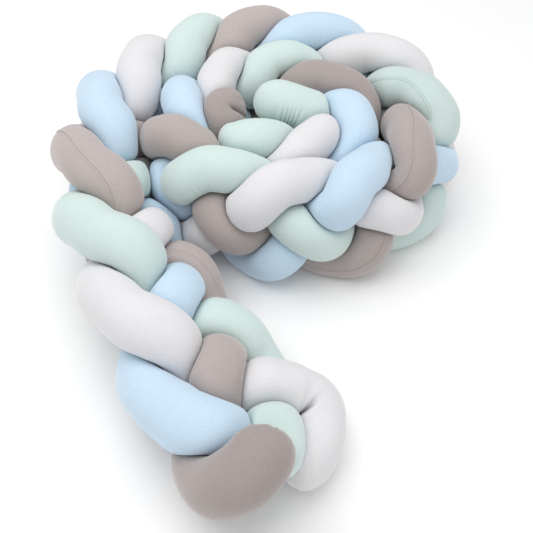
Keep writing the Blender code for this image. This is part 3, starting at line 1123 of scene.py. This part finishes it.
def velvet(name, colour, colours, speckle):
    """Short-pile velvet: a tone that drifts lighter and darker, the pile's lie and painted shade along the
    tube, a fine grain and a soft sheen.
    """
    material, tree, shader = surface(
        name,
        Roughness=PILE_ROUGHNESS,
        Specular_IOR_Level=PILE_SHINE,
        Sheen_Weight=colours.sheen,
        Sheen_Roughness=SHEEN_ROUGHNESS,
        Sheen_Tint=(*[SHEEN_PALENESS + (1 - SHEEN_PALENESS) * c for c in colour], 1),
    )
    place = tree.nodes.new("ShaderNodeTexCoord")
    link = tree.links.new

    def shades(noise_values, variation):
        """Noise as shades about 1 that vary by as much either way."""
        low, high = NOISE_RANGE
        made = set_inputs(tree.nodes.new("ShaderNodeMapRange"), From_Min=low, From_Max=high)
        set_inputs(made, To_Min=1 - variation, To_Max=1 + variation)
        link(noise(tree, place, *noise_values), made.inputs["Value"])
        return made.outputs["Result"]

    def times(first, second):
        made = tree.nodes.new("ShaderNodeMath")
        made.operation = "MULTIPLY"
        link(first, made.inputs[0])
        link(second, made.inputs[1])
        return made.outputs[0]

    # the shade along the tube, from the way the pile lies and from painted shade, multiplies the colour
    nap = tree.nodes.new("ShaderNodeAttribute")
    nap.attribute_name = "nap"
    varied = [shades(DRIFT_NOISE, DRIFT), shades(GRAIN_NOISE, speckle), shades(MOTTLE_NOISE, MOTTLE)]
    shade = functools.reduce(times, [*varied, nap.outputs["Fac"]])
    tint = tree.nodes.new("ShaderNodeMix")
    tint.data_type = "RGBA"
    tint.blend_type = "MULTIPLY"
    tint.inputs["Factor"].default_value = 1.0
    tint.inputs["A"].default_value = (*colour, 1)
    link(shade, tint.inputs["B"])
    link(tint.outputs["Result"], shader.inputs["Base Color"])
    pile = set_inputs(tree.nodes.new("ShaderNodeBump"), Strength=colours.pile, Distance=PILE_HEIGHT)
    link(noise(tree, place, *PILE_NOISE), pile.inputs["Height"])
    link(pile.outputs["Normal"], shader.inputs["Normal"])
    return material


def thread(name, colour):
    """Sewing thread, darker where its twist turns in."""
    material, tree, shader = surface(name, Roughness=THREAD_ROUGHNESS)
    twist = noise(tree, tree.nodes.new("ShaderNodeTexCoord"), *TWIST_NOISE)
    ramp = tree.nodes.new("ShaderNodeValToRGB")
    ramp.color_ramp.elements[0].color = (*[THREAD_SHADOW * c for c in colour], 1)
    ramp.color_ramp.elements[1].color = (*colour, 1)
    tree.links.new(twist, ramp.inputs["Fac"])
    tree.links.new(ramp.outputs["Color"], shader.inputs["Base Color"])
    return material


class BUMPER_OT_lay_tubes(bpy.types.Operator):
    """Lay the four stuffed velvet tubes of the braid"""

    bl_idname = "bumper.lay_tubes"
    bl_label = "Lay Tubes"

    def execute(self, context):
        sizes, colours = context.scene.bumper_sizes, context.scene.bumper_colours
        for strand, tube in stuffed_tubes(sizes).items():
            colour = tuple(getattr(colours, strand))
            tube.data.materials.append(velvet(strand + "_velvet", colour, colours, SPECKLE[strand]))
            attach(tube, "root")
            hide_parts("strand_" + strand)
        return {"FINISHED"}


class BUMPER_OT_sew_seams(bpy.types.Operator):
    """Sew the long seam of each tube with small stitches"""

    bl_idname = "bumper.sew_seams"
    bl_label = "Sew Seams"

    def execute(self, context):
        sizes, colours = context.scene.bumper_sizes, context.scene.bumper_colours
        for strand in STRANDS:
            tube, cloth = tube_for(strand, sizes), bpy.data.objects[strand + "_tube"]
            seam, points = seam_object(strand + "_seam", tube, cloth, cloth.data.materials[0])
            colour = [STITCH_SHADE[strand] * c for c in getattr(colours, strand)]
            sewing = thread(strand + "_thread", colour)
            stitches = stitch_object(strand + "_stitches", points, sizes, sewing)
            for piece in (seam, stitches):
                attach(piece, "root")
        return {"FINISHED"}


class BUMPER_OT_set_stage(bpy.types.Operator):
    """Set out the pale floor, the soft lights and the camera"""

    bl_idname = "bumper.set_stage"
    bl_label = "Set Stage"

    def execute(self, context):
        make_floor(context.scene.bumper_colours.floor)
        make_lights()
        make_camera()
        return {"FINISHED"}


def make_floor(colour):
    material = surface(
        "pale_floor",
        Base_Color=(*colour, 1),
        Roughness=FLOOR_ROUGHNESS,
        Specular_IOR_Level=FLOOR_SHINE,
    )[0]
    corners = np.array([(-1, -1, 0), (1, -1, 0), (1, 1, 0), (-1, 1, 0)]) * FLOOR_HALF
    floor = mesh_object("floor", corners, [(0, 1, 2, 3)], material)


def make_lights():
    scene = bpy.context.scene
    world = bpy.data.worlds.new("soft_room")
    scene.world = world
    world.use_nodes = True
    set_inputs(world.node_tree.nodes["Background"], Color=(1, 1, 1, 1), Strength=ROOM_LIGHT)
    for name, place, size, power in LAMPS:
        light = bpy.data.lights.new(name, "AREA")
        light.size = size
        light.energy = power
        lamp = bpy.data.objects.new(name, light)
        lamp.location = place
        lamp.rotation_euler = (Vector(LAMPS_FACE) - lamp.location).to_track_quat("-Z", "Y").to_euler()
        scene.collection.objects.link(lamp)
    scene.view_settings.view_transform = "Standard"


def make_camera():
    scene = bpy.context.scene
    camera = bpy.data.cameras.new("photo_view")
    camera.sensor_width = SENSOR_WIDTH
    camera.lens = PHOTO_FOCUS / PHOTO_SIDE * camera.sensor_width
    camera.shift_x = -(PHOTO_CENTRE[0] - PHOTO_SIDE / 2) / PHOTO_SIDE
    camera.shift_y = (PHOTO_CENTRE[1] - PHOTO_SIDE / 2) / PHOTO_SIDE
    holder = bpy.data.objects.new("photo_view", camera)
    holder.location = (
        -MIDDLE[0],
        -MIDDLE[1] - CAMERA_DISTANCE * math.cos(CAMERA_ELEVATION),
        CAMERA_DISTANCE * math.sin(CAMERA_ELEVATION),
    )
    holder.rotation_euler = (math.pi / 2 - CAMERA_ELEVATION, 0, 0)
    scene.collection.objects.link(holder)
    scene.camera = holder


class BUMPER_PT_panel(bpy.types.Panel):
    """The bumper's sizes, colours and steps"""

    bl_idname = "BUMPER_PT_panel"
    bl_label = "Plaited Bumper"
    bl_space_type = "VIEW_3D"
    bl_region_type = "UI"
    bl_category = "Bumper"

    def draw(self, context):
        for group in (context.scene.bumper_sizes, context.scene.bumper_colours):
            box = self.layout.box()
            for name in group.__annotations__:
                box.prop(group, name)
        for operator in OPERATORS:
            self.layout.operator(operator.bl_idname)


OPERATORS = (BUMPER_OT_lay_tubes, BUMPER_OT_sew_seams, BUMPER_OT_set_stage)
CLASSES = (BumperSizes, BumperColours, *OPERATORS, BUMPER_PT_panel)


def register():
    for kind in CLASSES:
        bpy.utils.register_class(kind)
    bpy.types.Scene.bumper_sizes = PointerProperty(type=BumperSizes)
    bpy.types.Scene.bumper_colours = PointerProperty(type=BumperColours)


def unregister():
    del bpy.types.Scene.bumper_colours
    del bpy.types.Scene.bumper_sizes
    for kind in reversed(CLASSES):
        bpy.utils.unregister_class(kind)


def main():
    register()
    bpy.ops.bumper.lay_tubes()
    bpy.ops.bumper.sew_seams()
    bpy.ops.bumper.set_stage()
    bpy.context.view_layer.update()


if __name__ == "__main__":
    main()
